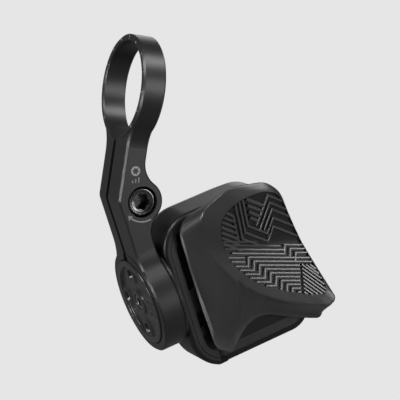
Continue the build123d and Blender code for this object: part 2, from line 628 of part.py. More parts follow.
def thumb_paddle():
    paddle = paddle_form(PADDLE_Y0, PADDLE_Y1, 0) - valley()
    paddle -= paddle_form(CARRIER_Y0, PADDLE_Y1, PADDLE_WALL)
    for x in PADDLE_SCREW_XS:
        paddle -= y_rod(PADDLE_SCREW_R, CARRIER_Y0 - PADDLE_SCREW_GRIP, PADDLE_Y1, x, PADDLE_SCREW_Z)
    return paddle


def paddle_screws():
    screws = []
    for x in PADDLE_SCREW_XS:
        shank = y_rod(PADDLE_SCREW_R, CARRIER_Y0 - PADDLE_SCREW_GRIP, CARRIER_Y1, x, PADDLE_SCREW_Z)
        head_y = CARRIER_Y1 + PADDLE_SCREW_HEAD_H
        screws.append(shank + y_rod(PADDLE_SCREW_HEAD_R, CARRIER_Y1, head_y, x, PADDLE_SCREW_Z))
    return group(screws)


# Electronics ----------------------------------------------------------------------------------
def circuit_board():
    board = y_prism(housing_outline(HOUSING_WALL + BOARD_GAP), BOARD_Y0, BOARD_Y1)
    for hole in posts(POST_R + DECK_FIT, BOARD_Y0 - CUT, BOARD_Y1 + CUT):
        board -= hole
    return board


def tact_switch(z):
    half = SWITCH_SIZE / 2
    body = block(PLUNGER_X - half, PLUNGER_X + half, SWITCH_TOP, BOARD_Y0, z - half, z + half)
    return body - y_rod(SWITCH_WELL_R, SWITCH_TOP - CUT, SWITCH_TOP + SWITCH_WELL, PLUNGER_X, z)


def radio_module():
    return block(RADIO_X, RADIO_X + RADIO_L, BOARD_Y0 - RADIO_T, BOARD_Y0, RADIO_Z, RADIO_Z + RADIO_W)


def function_button():
    flange_x = BUTTON_FLANGE_X1 - BUTTON_FLANGE_T
    button = x_rod(BUTTON_R, flange_x, HOUSING_X1 + BUTTON_PROUD, BUTTON_Y, BUTTON_Z)
    return button + x_rod(BUTTON_R + BUTTON_FLANGE, flange_x, BUTTON_FLANGE_X1, BUTTON_Y, BUTTON_Z)


def button_switch():
    x1 = BUTTON_FLANGE_X1 - BUTTON_FLANGE_T - BUTTON_TRAVEL
    half = BUTTON_SWITCH_W / 2
    return block(x1 - BUTTON_SWITCH_L, x1, BOARD_Y1, BUTTON_Y + half, BUTTON_Z - half, BUTTON_Z + half)


def status_light():
    inner_end = HOUSING_X1 - HOUSING_WALL - LIGHT_INSIDE
    return x_rod(LIGHT_R, inner_end, HOUSING_X1 + LIGHT_PROUD, BUTTON_Y, BUTTON_Z - LIGHT_BELOW_BUTTON)


# Battery --------------------------------------------------------------------------------------
def battery_holder():
    inner = CELL_R + CELL_FIT
    outer = DOOR_R + DOOR_FIT + HOLDER_SEAT
    holder = y_rod(outer, BOARD_Y1, INNER_BACK, CELL_X, CELL_Z)
    holder -= y_rod(inner, FLOOR_Y1, INNER_BACK + CUT, CELL_X, CELL_Z)
    holder -= y_rod(inner - HOLDER_FOOT, BOARD_Y1 - CUT, FLOOR_Y1 - HOLDER_FLOOR, CELL_X, CELL_Z)
    z0 = CELL_Z - CONTACT_W / 2 - DECK_FIT
    z1 = CELL_Z + CONTACT_W / 2 + DECK_FIT
    side = CELL_X + inner
    holder -= block(side - CONTACT_ROOM / 3, side + CONTACT_ROOM, BOARD_Y1 - CUT, INNER_BACK + CUT, z0, z1)
    leg_x = CELL_X + CONTACT_W
    gap = CONTACT_T + DECK_FIT
    return holder - block(leg_x - gap, leg_x + gap, BOARD_Y1, FLOOR_Y1 + CUT, z0, z1)


def battery_contact_negative():
    """A leaf on the holder's floor with a raised dimple, and a leg down to the board."""
    half = CONTACT_W / 2
    leg_x = CELL_X + CONTACT_W
    top = FLOOR_Y1 + CONTACT_T
    leaf = block(CELL_X - CONTACT_W, leg_x, FLOOR_Y1, top, CELL_Z - half, CELL_Z + half)
    leaf += y_rod(half - DIMPLE_INSET, FLOOR_Y1, CELL_Y0, CELL_X, CELL_Z)
    return leaf + block(leg_x - CONTACT_T, leg_x, BOARD_Y1, top, CELL_Z - half, CELL_Z + half)


def battery_contact_positive():
    half = CONTACT_W / 2
    x0 = CELL_X + CELL_R
    return block(x0, x0 + CONTACT_T, BOARD_Y1, CELL_Y1 - CONTACT_TOP_GAP, CELL_Z - half, CELL_Z + half)


def coin_cell():
    step = CELL_Y0 + CELL_CAN_STEP
    can = y_rod(CELL_R, step, CELL_Y1, CELL_X, CELL_Z)
    return can + y_rod(CELL_R - CELL_CAP_INSET, CELL_Y0, step, CELL_X, CELL_Z)


def seal_groove_y():
    return DOOR_Y1 - DOOR_PROUD - DOOR_SEAL_BEHIND_FACE


def battery_door():
    door = y_rod(DOOR_R, DOOR_Y0, DOOR_Y1, CELL_X, CELL_Z)
    door = fillet(door.faces().sort_by(Axis.Y)[-1].edges(), DOOR_EDGE_R)
    for lug in door_lugs(DOOR_R + DOOR_LUG, LUG_Y0, LUG_Y0 + DOOR_LUG_T, 0):
        door += lug
    slot = SlotOverall(COIN_SLOT_L, COIN_SLOT_W)
    door -= y_prism(Pos(CELL_X, CELL_Z) * slot, DOOR_Y1 - COIN_SLOT_DEPTH, DOOR_Y1 + CUT)
    y = seal_groove_y()
    reach = DOOR_SEAL_R + DOOR_SEAL_GAP
    groove = y_rod(DOOR_R + CUT, y - reach, y + reach, CELL_X, CELL_Z)
    return door - (groove - y_rod(DOOR_R - 2 * DOOR_SEAL_R, y - CUT, y + CUT, CELL_X, CELL_Z))


def door_seal():
    ring = Torus(DOOR_R - DOOR_SEAL_R + DOOR_SEAL_SQUEEZE, DOOR_SEAL_R)
    return Pos(CELL_X, seal_groove_y(), CELL_Z) * Rot(90, 0, 0) * ring


NODES = {
    "clamp_band": clamp_band(),
    "clamp_bolt": clamp_bolt(),
}
POD_NODES = {
    "mount_hub": mount_hub(),
    "hub_screws": hub_screws(),
    "hub_plug": hub_plug(),
    "base_housing": base_housing(),
    "paddle_deck": paddle_deck(),
    "deck_gasket": deck_gasket(),
    "deck_screws": deck_screws(),
    "pivot_pin": pivot_pin(),
    "plunger_upper": plunger(PLUNGER_ZS["upper"]),
    "plunger_lower": plunger(PLUNGER_ZS["lower"]),
    "plunger_seals": plunger_seals(),
    "paddle_carrier": paddle_carrier(),
    "thumb_paddle": thumb_paddle(),
    "paddle_screws": paddle_screws(),
    "circuit_board": circuit_board(),
    "switch_upper": tact_switch(PLUNGER_ZS["upper"]),
    "switch_lower": tact_switch(PLUNGER_ZS["lower"]),
    "radio_module": radio_module(),
    "function_button": function_button(),
    "button_switch": button_switch(),
    "status_light": status_light(),
    "battery_holder": battery_holder(),
    "battery_contact_negative": battery_contact_negative(),
    "battery_contact_positive": battery_contact_positive(),
    "coin_cell": coin_cell(),
    "battery_door": battery_door(),
    "door_seal": door_seal(),
}
for name, shape in POD_NODES.items():
    NODES[name] = POD * shape

os.makedirs("parts", exist_ok=True)
for name, shape in NODES.items():
    export_step(shape, os.path.join("parts", name + ".step"))
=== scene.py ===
"""Looks of a wireless thumb shifter for a flat handlebar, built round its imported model."""
import json
import math

import bmesh
import bpy
from mathutils import Matrix, Vector
from mathutils.geometry import delaunay_2d_cdt


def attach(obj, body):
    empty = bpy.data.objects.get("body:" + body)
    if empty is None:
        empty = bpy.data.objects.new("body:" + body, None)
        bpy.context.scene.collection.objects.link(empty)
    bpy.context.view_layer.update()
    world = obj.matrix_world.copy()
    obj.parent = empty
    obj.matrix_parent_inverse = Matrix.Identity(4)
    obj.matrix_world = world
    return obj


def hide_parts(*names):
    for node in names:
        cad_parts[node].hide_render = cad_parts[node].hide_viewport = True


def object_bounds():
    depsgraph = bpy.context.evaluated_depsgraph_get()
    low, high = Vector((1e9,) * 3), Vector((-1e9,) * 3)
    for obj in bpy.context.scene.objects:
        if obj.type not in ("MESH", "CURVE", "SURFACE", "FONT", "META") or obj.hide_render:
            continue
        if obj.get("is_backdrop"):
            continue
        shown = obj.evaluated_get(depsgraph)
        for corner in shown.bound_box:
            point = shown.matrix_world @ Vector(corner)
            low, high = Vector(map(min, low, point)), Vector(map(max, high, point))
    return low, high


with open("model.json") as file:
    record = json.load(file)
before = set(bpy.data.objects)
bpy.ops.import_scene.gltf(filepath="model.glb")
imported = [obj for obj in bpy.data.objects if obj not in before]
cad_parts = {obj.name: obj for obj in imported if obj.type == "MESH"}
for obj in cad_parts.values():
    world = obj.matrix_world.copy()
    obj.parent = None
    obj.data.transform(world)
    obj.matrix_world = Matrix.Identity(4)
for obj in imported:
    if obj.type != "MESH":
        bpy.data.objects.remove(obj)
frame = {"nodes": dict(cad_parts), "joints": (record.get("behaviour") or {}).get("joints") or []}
cad_low, cad_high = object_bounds()

# Camera ---------------------------------------------------------------------------------------
# A long lens in front of the shifter and a little to the handlebar's outer side, slightly above
# it and rolled, aimed between the clamp and the pod.
CAMERA_AZIMUTH = -25.61
CAMERA_ELEVATION = 5.46
CAMERA_ROLL = 8.55
CAMERA_DISTANCE = 0.450
CAMERA_AIM = Vector((0.0218, 0.0, -0.0249))
CAMERA_LENS = 165.9


def outward(azimuth, elevation):
    """The direction from the object to something at that azimuth and elevation."""
    a = math.radians(azimuth)
    e = math.radians(elevation)
    return Vector((math.sin(a) * math.cos(e), -math.cos(a) * math.cos(e), math.sin(e)))


camera_data = bpy.data.cameras.new("camera")
camera_data.lens = CAMERA_LENS
camera_data.clip_start = 0.01
camera = bpy.data.objects.new("camera", camera_data)
toward = -outward(CAMERA_AZIMUTH, CAMERA_ELEVATION)
level = toward.to_track_quat("-Z", "Y").to_matrix()
roll = Matrix.Rotation(math.radians(CAMERA_ROLL), 3, "Z")
stand = CAMERA_AIM - toward * CAMERA_DISTANCE
camera.matrix_world = Matrix.LocRotScale(stand, (level @ roll).to_quaternion(), None)
bpy.context.scene.collection.objects.link(camera)
bpy.context.scene.camera = camera
bpy.context.scene.view_settings.view_transform = "Standard"

# Backdrop and lights --------------------------------------------------------------------------
# A pale sheet runs under the shifter and curves up behind it, and the world past it has the same
# shade. Both look paler than the light they throw. Softboxes stand in front to the right, on the
# left, above and behind.
SHEET_SHADE = 0.79
SHEET_GLOW = 0.16
SHEET_DROP = 0.11
SHEET_HALF = 1.6
SHEET_BEND_R = 0.5
SHEET_BACK = 0.9
SHEET_BEND_STEPS = 16
WORLD_GLOW = 0.03


class Value:
    """One output socket of a node, which sums and products can be written on."""

    def __init__(self, finish, socket):
        self.finish = finish
        self.socket = socket

    def maths(self, operation, first, second):
        """A Math node's result."""
        return self.finish.node("ShaderNodeMath", {"operation": operation}, {0: first, 1: second})

    def __add__(self, other):
        return self.maths("ADD", self, other)

    def __radd__(self, other):
        return self.maths("ADD", other, self)

    def __mul__(self, other):
        return self.maths("MULTIPLY", self, other)

    def __rmul__(self, other):
        return self.maths("MULTIPLY", other, self)


class Finish:
    """A material with one Principled shader, whose sockets are set or driven by nodes."""

    def __init__(self, name, **sockets):
        self.material = bpy.data.materials.new(name)
        self.material.use_nodes = True
        self.tree = self.material.node_tree
        self.shader = self.tree.nodes["Principled BSDF"]
        for socket, value in sockets.items():
            self.drive(socket.replace("_", " "), value)

    def drive(self, socket, value):
        """Sets one socket of the shader, or links it."""
        self.join(self.shader.inputs[socket], value)

    def join(self, socket, value):
        """Links a value to a socket, or sets the socket to a number or a colour."""
        if isinstance(value, Value):
            self.tree.links.new(value.socket, socket)
        elif socket.type == "RGBA":
            socket.default_value = (*value, 1.0)
        else:
            socket.default_value = value

    def node(self, kind, settings=None, sockets=None, output=0):
        """Any node: its settings first, then the values or links of its sockets."""
        made = self.tree.nodes.new(kind)
        for name, value in (settings or {}).items():
            setattr(made, name, value)
        for name, value in (sockets or {}).items():
            self.join(made.inputs[name], value)
        return Value(self, made.outputs[output])

    def grain(self, size, detail=2.0, stretch=None):
        """Soft noise whose blotches are about size across, in metres."""
        where = self.node("ShaderNodeTexCoord", output="Object")
        if stretch:
            where = self.node("ShaderNodeVectorMath", {"operation": "MULTIPLY"}, {0: where, 1: stretch})
        settings = {"Vector": where, "Scale": 1.0 / size, "Detail": detail}
        return self.node("ShaderNodeTexNoise", sockets=settings)

    def blend(self, first, second, share):
        """A colour between two colours."""
        return self.node("ShaderNodeMix", {"data_type": "RGBA"}, {0: share, 6: first, 7: second}, output=2)

    def relief(self, height, depth):
        """A bump of that depth in metres."""
        sockets = {"Height": height, "Distance": depth, "Strength": 1.0}
        self.drive("Normal", self.node("ShaderNodeBump", sockets=sockets))


def grey(level):
    """A neutral colour of that brightness."""
    return (level, level, level)


sheet_paper = Finish("sheet_paper", Base_Color=grey(0.0), Roughness=1.0)
sheet_paper.drive("Specular IOR Level", 0.0)
seen = sheet_paper.node("ShaderNodeLightPath")
sheet_paper.drive("Emission Strength", 1.0)
sheet_paper.drive("Emission Color", sheet_paper.blend(grey(SHEET_GLOW), grey(SHEET_SHADE), seen))

sheet_mesh = bpy.data.meshes.new("sheet")
floor_z = cad_low.z - SHEET_DROP
profile = [(-SHEET_HALF, floor_z), (SHEET_BACK, floor_z)]
for step in range(1, SHEET_BEND_STEPS + 1):
    turn = math.radians(90 * step / SHEET_BEND_STEPS)
    rise = SHEET_BEND_R * (1 - math.cos(turn))
    profile.append((SHEET_BACK + SHEET_BEND_R * math.sin(turn), floor_z + rise))
profile.append((SHEET_BACK + SHEET_BEND_R, floor_z + SHEET_BEND_R + SHEET_HALF))
corners = [(x, y, z) for y, z in profile for x in (-SHEET_HALF, SHEET_HALF)]
panels = [(2 * i, 2 * i + 1, 2 * i + 3, 2 * i + 2) for i in range(len(profile) - 1)]
sheet_mesh.from_pydata(corners, [], panels)
sheet_mesh.materials.append(sheet_paper.material)
sheet = bpy.data.objects.new("sheet", sheet_mesh)
bpy.context.scene.collection.objects.link(sheet)
sheet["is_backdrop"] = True


def softbox(name, azimuth, elevation, distance, width, height, watts):
    """A rectangular area light that faces the object."""
    data = bpy.data.lights.new(name, "AREA")
    data.shape = "RECTANGLE"
    data.size = width
    data.size_y = height
    data.energy = watts
    lamp = bpy.data.objects.new(name, data)
    away = outward(azimuth, elevation)
    lamp.location = CAMERA_AIM + away * distance
    lamp.rotation_euler = (-away).to_track_quat("-Z", "Y").to_euler()
    bpy.context.scene.collection.objects.link(lamp)


softbox("front_softbox", 38, 12, 0.7, 0.3, 0.26, 2.2)
softbox("left_softbox", -70, -20, 0.6, 0.2, 0.3, 4.0)
softbox("low_left_softbox", -112, -38, 0.6, 0.3, 0.12, 1.6)
softbox("upper_left_softbox", -72, 38, 0.6, 0.2, 0.12, 1.8)
softbox("top_softbox", 30, 62, 0.6, 0.4, 0.16, 1.6)
softbox("back_softbox", 150, 25, 0.7, 0.4, 0.4, 0.7)

world = bpy.data.worlds.new("studio")
world.use_nodes = True
sky = world.node_tree
glow = sky.nodes["Background"]
glow.inputs["Color"].default_value = (*grey(1.0), 1.0)
glow.inputs["Strength"].default_value = WORLD_GLOW
pale = sky.nodes.new("ShaderNodeBackground")
pale.inputs["Color"].default_value = (*grey(SHEET_SHADE), 1.0)
ray = sky.nodes.new("ShaderNodeLightPath")
either = sky.nodes.new("ShaderNodeMixShader")
sky.links.new(ray.outputs["Is Camera Ray"], either.inputs[0])
sky.links.new(glow.outputs[0], either.inputs[1])
sky.links.new(pale.outputs[0], either.inputs[2])
sky.links.new(either.outputs[0], sky.nodes["World Output"].inputs["Surface"])
bpy.context.scene.world = world

# Clamp band -----------------------------------------------------------------------------------
# The band is milled from aluminium bar and anodised satin black. It closes round the handlebar
# and the pod's hub together. The ring's end carries engraved degree marks filled with white.
MM = 0.001
BAR_BORE_R = 11.1
BAR_RING_R = 12.75
BAND_HALF_W = 2.9
MARK_LIFT = 0.03
MARK_W = 0.16
MARK_STEP_DEG = 22.5
LONG_MARK = 1.0
SHORT_MARK = 0.6
DOT_R = 0.45


def black_anodised(name, level, roughness):
    """Satin anodising: a fine matt grain under a faint sealed gloss."""
    finish = Finish(name)
    fine = finish.grain(0.00012, 3.0)
    broad = finish.grain(0.006)
    finish.drive("Base Color", finish.blend(grey(level * 0.8), grey(level * 1.25), broad))
    finish.drive("Roughness", fine * 0.08 + (roughness - 0.04))
    finish.drive("Specular IOR Level", 0.62)
    finish.relief(fine, 0.000004)
    return finish


clamp_finish = black_anodised("clamp_black_anodising", 0.012, 0.36)
white_fill = Finish("engraved_white_fill", Roughness=0.6)
white_fill.drive("Base Color", white_fill.blend(grey(0.42), grey(0.62), white_fill.grain(0.0004)))


def wear(node, finish):
    """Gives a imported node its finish."""
    materials = frame["nodes"][node].data.materials
    materials.clear()
    materials.append(finish.material)


wear("clamp_band", clamp_finish)


def straight(point):
    """Row frame, millimetres to metres."""
    return Vector(point) * MM


def make_piece(name, points, faces, finish, body, place=straight, sharp=32):
    """A mesh piece from points in millimetres, which rides on a body of the model."""
    mesh = bpy.data.meshes.new(name)
    mesh.from_pydata([place(p) for p in points], [], faces)
    shape = bmesh.new()
    shape.from_mesh(mesh)
    bmesh.ops.remove_doubles(shape, verts=shape.verts, dist=0.000001)
    bmesh.ops.recalc_face_normals(shape, faces=shape.faces)
    shape.to_mesh(mesh)
    shape.free()
    mesh.materials.append(finish.material)
    for face in mesh.polygons:
        face.use_smooth = True
    mesh.set_sharp_from_angle(angle=math.radians(sharp))
    piece = bpy.data.objects.new(name, mesh)
    bpy.context.scene.collection.objects.link(piece)
    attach(piece, body)
    return piece


class Build:
    """Gathers the points and faces of one piece."""

    def __init__(self):
        self.points = []
        self.faces = []

    def add(self, points, faces):
        """Adds a patch of its own points and faces."""
        start = len(self.points)
        self.points += points
        self.faces += [tuple(start + i for i in face) for face in faces]

    def stack(self, rings, first_cap=True, last_cap=True):
        """Joins rings that have equal numbers of points, and closes the ends with fans."""
        count = len(rings[0])
        points = [p for ring in rings for p in ring]
        faces = []
        for level in range(len(rings) - 1):
            for i in range(count):
                j = (i + 1) % count
                low = level * count
                faces.append((low + i, low + j, low + count + j, low + count + i))
        ends = ((first_cap, rings[0], 0), (last_cap, rings[-1], count * (len(rings) - 1)))
        for wanted, ring, start in ends:
            if wanted:
                middle = len(points)
                points.append(tuple(sum(p[k] for p in ring) / count for k in range(3)))
                faces += [(start + i, start + (i + 1) % count, middle) for i in range(count)]
        self.add(points, faces)

    def bar(self, a, b, width, lift, normal, sink=0.05):
        """A thin flat stroke from a to b that stands lift above a surface with that normal."""
        a, b, normal = Vector(a), Vector(b), Vector(normal)
        side = (b - a).cross(normal).normalized() * (width / 2)
        ring = [a + side, b + side, b - side, a - side]
        self.stack([[tuple(p - normal * sink) for p in ring], [tuple(p + normal * lift) for p in ring]])


marks = Build()
for turn in range(16):
    angle = math.radians(MARK_STEP_DEG * turn)
    out = Vector((0, math.sin(angle), math.cos(angle)))
    if out.z > -0.85:
        length = LONG_MARK if turn % 2 == 0 else SHORT_MARK
        middle = (BAR_BORE_R + BAR_RING_R) / 2
        end = Vector((-BAND_HALF_W, 0, 0))
        root, tip = (end + out * (middle + way * length / 2) for way in (-1, 1))
        marks.bar(root, tip, MARK_W, MARK_LIFT, (-1, 0, 0))
dot_top = BAR_RING_R + MARK_LIFT
dot = [(DOT_R * math.cos(math.radians(15 * i)), DOT_R * math.sin(math.radians(15 * i))) for i in range(24)]
marks.stack([[(x, y, math.sqrt(r * r - y * y)) for x, y in dot] for r in (BAR_RING_R - 0.05, dot_top)])
make_piece("band_degree_marks", marks.points, marks.faces, white_fill, "clamp")

# Markings on the front arm --------------------------------------------------------------------
# Laser marks beside the bolt: a ring round a six-lobe drive sign, a curved tightening arrow
# and three strokes of rising length.
ARM_FRONT = -7.8
BOLT_AT = (3.3, -26.0)
SIGN_AT = (0.35, -18.85)
SIGN_R = 1.15
ARROW_OUTER_R = 4.85
ARROW_INNER_R = 4.6
ARROW_TIP_R = 4.72
ARROW_START_DEG = 232
ARROW_STOP_DEG = 306
STROKE_W = 0.2


def lobed(radius, depth, angle):
    """The radius of a six-lobe outline at one angle."""
    return radius * (1 - depth + depth * math.cos(6 * angle))


def flat_ring(build, centre, outer, inner, start=0.0, stop=360.0, steps=48):
    """A thin ring or arc on the arm's front face, between two radii given as functions."""
    whole = stop - start > 359
    count = steps if whole else steps + 1
    rows = []
    for i in range(count):
        a = math.radians(start + (stop - start) * i / steps)
        for radius in (outer(a), inner(a)):
            x = centre[0] + radius * math.cos(a)
            z = centre[1] + radius * math.sin(a)
            rows.append([(x, ARM_FRONT + 0.05, z), (x, ARM_FRONT - MARK_LIFT, z)])
    points = [p for row in rows for p in row]
    faces = []
    for i in range(count if whole else steps):
        a = 4 * i
        b = 4 * ((i + 1) % count)
        faces += [(a + p, b + p, b + q, a + q) for p, q in ((0, 1), (1, 3), (3, 2), (2, 0))]
    if not whole:
        last = 4 * (count - 1)
        faces += [(0, 1, 3, 2), (last, last + 2, last + 3, last + 1)]
    build.add(points, faces)


signs = Build()
flat_ring(signs, SIGN_AT, lambda a: SIGN_R, lambda a: lobed(SIGN_R * 0.72, 0.16, a), steps=72)
flat_ring(signs, BOLT_AT, lambda a: ARROW_OUTER_R, lambda a: ARROW_INNER_R, ARROW_START_DEG, ARROW_STOP_DEG)
arrow = math.radians(ARROW_START_DEG)
tip_x = BOLT_AT[0] + ARROW_TIP_R * math.cos(arrow)
tip_z = BOLT_AT[1] + ARROW_TIP_R * math.sin(arrow)
tip = Vector((tip_x, ARM_FRONT, tip_z))
back = Vector((-math.sin(arrow), 0, math.cos(arrow)))
away = Vector((math.cos(arrow), 0, math.sin(arrow)))
for side in (-1, 1):
    signs.bar(tip - back * 0.15, tip + back * 0.75 + away * (0.55 * side), STROKE_W, MARK_LIFT, (0, -1, 0))
for step in range(3):
    foot = Vector((SIGN_AT[0] - 0.3 + 0.75 * step, ARM_FRONT, SIGN_AT[1] - 2.9 + 0.12 * step))
    signs.bar(foot, foot + Vector((-0.1, 0, 0.55 + 0.35 * step)), STROKE_W, MARK_LIFT, (0, -1, 0))
sign_fill = Finish("laser_mark", Roughness=0.55)
sign_fill.drive("Base Color", sign_fill.blend(grey(0.2), grey(0.42), sign_fill.grain(0.0003)))
make_piece("arm_laser_marks", signs.points, signs.faces, sign_fill, "clamp")

# Clamp bolt -----------------------------------------------------------------------------------
# One M4 button-edged bolt, cold headed in alloy steel and blackened, draws both arms together.
# Its head stands in a counterbore in the front arm and has a six-lobe socket.
BOLT_TURNS = 96
BOLT_SOCKET = [(1.95, 4.85), (2.02, 4.75), (2.02, 6.75), (2.12, 6.95), (2.3, 7.0)]
SOCKET_LOBE = 0.085
BOLT_RIM = [(2.52, 7.02), (2.78, 7.26), (2.95, 7.3), (3.2, 7.22), (3.38, 7.02), (3.45, 6.75), (3.45, 3.65),
            (3.3, 3.5)]
THREAD_PITCH = 0.7
THREAD_R = 2.0
THREAD_DEPTH = 0.3
THREAD_START = 2.2
HEAD_UNDER = 3.45
BOLT_END = 4.9


def bolt_ring(radius, y, lobes=0.0):
    """One ring round the bolt's axis, lobed where it belongs to the socket."""
    points = []
    for i in range(BOLT_TURNS):
        a = 2 * math.pi * i / BOLT_TURNS
        r = lobed(radius, lobes, a)
        points.append((BOLT_AT[0] + r * math.cos(a), y, BOLT_AT[1] + r * math.sin(a)))
    return points


bolt = Build()
rings = [bolt_ring(r, -y, SOCKET_LOBE if r < 2.3 else 0.0) for r, y in BOLT_SOCKET]
rings += [bolt_ring(r, -y) for r, y in BOLT_RIM]
rings.append(bolt_ring(THREAD_R, -HEAD_UNDER))
y = -THREAD_START
rings.append(bolt_ring(THREAD_R, y))
while y < BOLT_END - THREAD_PITCH:
    rings.append(bolt_ring(THREAD_R - THREAD_DEPTH, y + THREAD_PITCH / 2))
    rings.append(bolt_ring(THREAD_R, y + THREAD_PITCH))
    y += THREAD_PITCH
rings.append(bolt_ring(THREAD_R - 0.4, BOLT_END))
bolt.stack(rings)
bolt_finish = Finish("blackened_bolt_steel", Metallic=1.0)
lathe_lines = bolt_finish.grain(0.0008, 2.0)
bolt_finish.drive("Base Color", bolt_finish.blend(grey(0.09), grey(0.17), lathe_lines))
bolt_finish.drive("Roughness", bolt_finish.grain(0.0004) * 0.12 + 0.2)
bolt_finish.relief(bolt_finish.grain(0.00015, 3.0), 0.000006)
clamp_bolt = make_piece("clamp_bolt_detailed", bolt.points, bolt.faces, bolt_finish, "clamp",
                        sharp=38)
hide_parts("clamp_bolt")

# Mount hub ------------------------------------------------------------------------------------
# A turned and milled aluminium stub that the band grips. Its end face is dished between three
# screw bosses and a centre boss, and its fourth quarter has a raised pad with index lines.
pod_joint = next(j for j in frame["joints"] if j["name"] == "pod_turn")
POD_CENTRE = Vector(pod_joint["pos_m"])
POD_AXIS = Vector(pod_joint["axis"]).normalized()
POD_DEPTH = Vector((0.0, 1.0, 0.0))
POD_UP = POD_AXIS.cross(POD_DEPTH)


def in_pod(point):
    """The pod's own frame in millimetres: along the ring's axis, away from the rider, and up."""
    along, depth, up = point
    return POD_CENTRE + (POD_AXIS * along + POD_DEPTH * depth + POD_UP * up) * MM


HUB_R = 10.8
HUB_FACE = -3.25
HUB_DISH = 0.62
COLLAR = [(10.8, 3.0), (12.1, 3.0), (12.4, 3.12), (12.4, 3.68), (12.2, 3.8)]
SCREW_CIRCLE_R = 7.2
BOSSES = ((0, SCREW_CIRCLE_R), (SCREW_CIRCLE_R, 0), (0, -SCREW_CIRCLE_R))
SCREW_HOLE_R = 1.4
CENTRE_BOSS_R = 3.3
CENTRE_BORE_R = 1.95
HUB_TURNS = 180


def step_up(value, start, stop):
    """0 before start, 1 after stop, smooth between them."""
    share = min(1.0, max(0.0, (value - start) / (stop - start)))
    return share * share * (3 - 2 * share)


def hub_height(radius, angle):
    """How far the end face stands below its highest level, in millimetres."""
    depth = radius * math.cos(angle)
    up = radius * math.sin(angle)
    land = step_up(radius, 8.9, 9.3)
    land = max(land, 1 - step_up(radius, CENTRE_BOSS_R - 0.4, CENTRE_BOSS_R + 0.5))
    for boss_y, boss_z in BOSSES:
        near = math.hypot(depth - boss_y, up - boss_z)
        land = max(land, 0.8 * (1 - step_up(near, 1.9, 3.0)))
    pad = step_up(-depth, 4.4, 4.9) * (1 - step_up(abs(up), 3.6, 4.2))
    land = max(land, pad)
    low = HUB_DISH * (1 - land)
    for boss_y, boss_z in BOSSES:
        near = math.hypot(depth - boss_y, up - boss_z)
        low += 1.0 * (1 - step_up(near, SCREW_HOLE_R - 0.1, SCREW_HOLE_R + 0.05))
    if pad > 0.5:
        for line in (-1.5, 0.0, 1.5):
            low += 0.22 * (1 - step_up(abs(up - line), 0.16, 0.3)) * step_up(-depth, 6.2, 6.5)
    return low


def hub_ring(radius, x, shaped=False):
    """A ring round the hub's axis, which follows the end face's relief if shaped."""
    points = []
    for i in range(HUB_TURNS):
        a = 2 * math.pi * i / HUB_TURNS
        low = hub_height(radius, a) if shaped else 0.0
        points.append((x + low, radius * math.cos(a), radius * math.sin(a)))
    return points


hub = Build()
inner_wall = [hub_ring(CENTRE_BORE_R, HUB_FACE + 3.4), hub_ring(CENTRE_BORE_R, HUB_FACE + 0.15)]
face_rings = [hub_ring(CENTRE_BORE_R + 0.15 + 0.1 * i, HUB_FACE, True) for i in range(86)]
edge = [hub_ring(HUB_R - shift, HUB_FACE + x) for shift, x in ((0.12, 0.04), (0.03, 0.13), (0.0, 0.3))]
collar = [hub_ring(r, x) for r, x in COLLAR]
hub.stack(inner_wall + face_rings + edge + collar)
hub_finish = black_anodised("hub_black_anodising", 0.02, 0.26)
mount_hub = make_piece("mount_hub_milled", hub.points, hub.faces, hub_finish, "pod", in_pod,
                       sharp=40)
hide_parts("mount_hub")

# Hub screws and plug --------------------------------------------------------------------------
# Three small six-lobe screws, cold headed in steel and blackened, hold the hub to the pod. A
# turned steel plug closes the hub's centre.
small_steel = Finish("small_blackened_steel", Metallic=1.0)
small_steel.drive("Base Color", small_steel.blend(grey(0.07), grey(0.14), small_steel.grain(0.0006)))
small_steel.drive("Roughness", small_steel.grain(0.0003) * 0.15 + 0.22)
small_steel.relief(small_steel.grain(0.00012, 3.0), 0.000004)


def lobed_screw(build, face_x, y, z, head_r, head_h, socket_r, length, shank_r):
    """A cheese-head screw along the pod's axis, its head towards the handlebar's free end."""

    def ring(radius, x, lobes=0.0):
        """A ring round the screw's axis."""
        return [(x, y + lobed(radius, lobes, a) * math.cos(a), z + lobed(radius, lobes, a) * math.sin(a))
                for a in (2 * math.pi * i / 48 for i in range(48))]

    rings = [ring(socket_r * 0.92, face_x + 0.7, 0.1), ring(socket_r, face_x + 0.1, 0.1)]
    rings += [ring(socket_r + 0.14, face_x + 0.02), ring(head_r - 0.2, face_x)]
    rings += [ring(head_r - 0.05, face_x + 0.06)]
    rings += [ring(head_r, face_x + 0.2), ring(head_r, face_x + head_h), ring(shank_r, face_x + head_h)]
    rings.append(ring(shank_r, face_x + length))
    build.stack(rings)


screws = Build()
for y, z in BOSSES:
    lobed_screw(screws, HUB_FACE + 0.75, y, z, head_r=1.22, head_h=1.4, socket_r=0.74, length=7.0,
                shank_r=0.8)
hub_screws = make_piece("hub_screws_detailed", screws.points, screws.faces, small_steel, "pod",
                        in_pod)
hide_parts("hub_screws")

PLUG_PROFILE = [
    (0.9, 1.9), (1.1, 1.75), (1.1, 0.35), (1.25, 0.2), (1.6, 0.12), (1.8, 0.2), (1.9, 0.4), (1.9, 3.4)]
plug = Build()
plug.stack([hub_ring(r, HUB_FACE + x) for r, x in PLUG_PROFILE])
plug_steel = Finish("plug_bright_steel", Metallic=1.0)
plug_steel.drive("Base Color", plug_steel.blend(grey(0.25), grey(0.42), plug_steel.grain(0.0006)))
plug_steel.drive("Roughness", plug_steel.grain(0.0003) * 0.15 + 0.2)
hub_plug = make_piece("hub_plug_turned", plug.points, plug.faces, plug_steel, "pod", in_pod)
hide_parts("hub_plug")

# Pod housing and paddle deck ------------------------------------------------------------------
# The housing is a shell moulded in glass-filled nylon with a spark-eroded texture. The deck that
# closes it and the carrier are moulded in the same plastic, and the plungers in pale acetal.


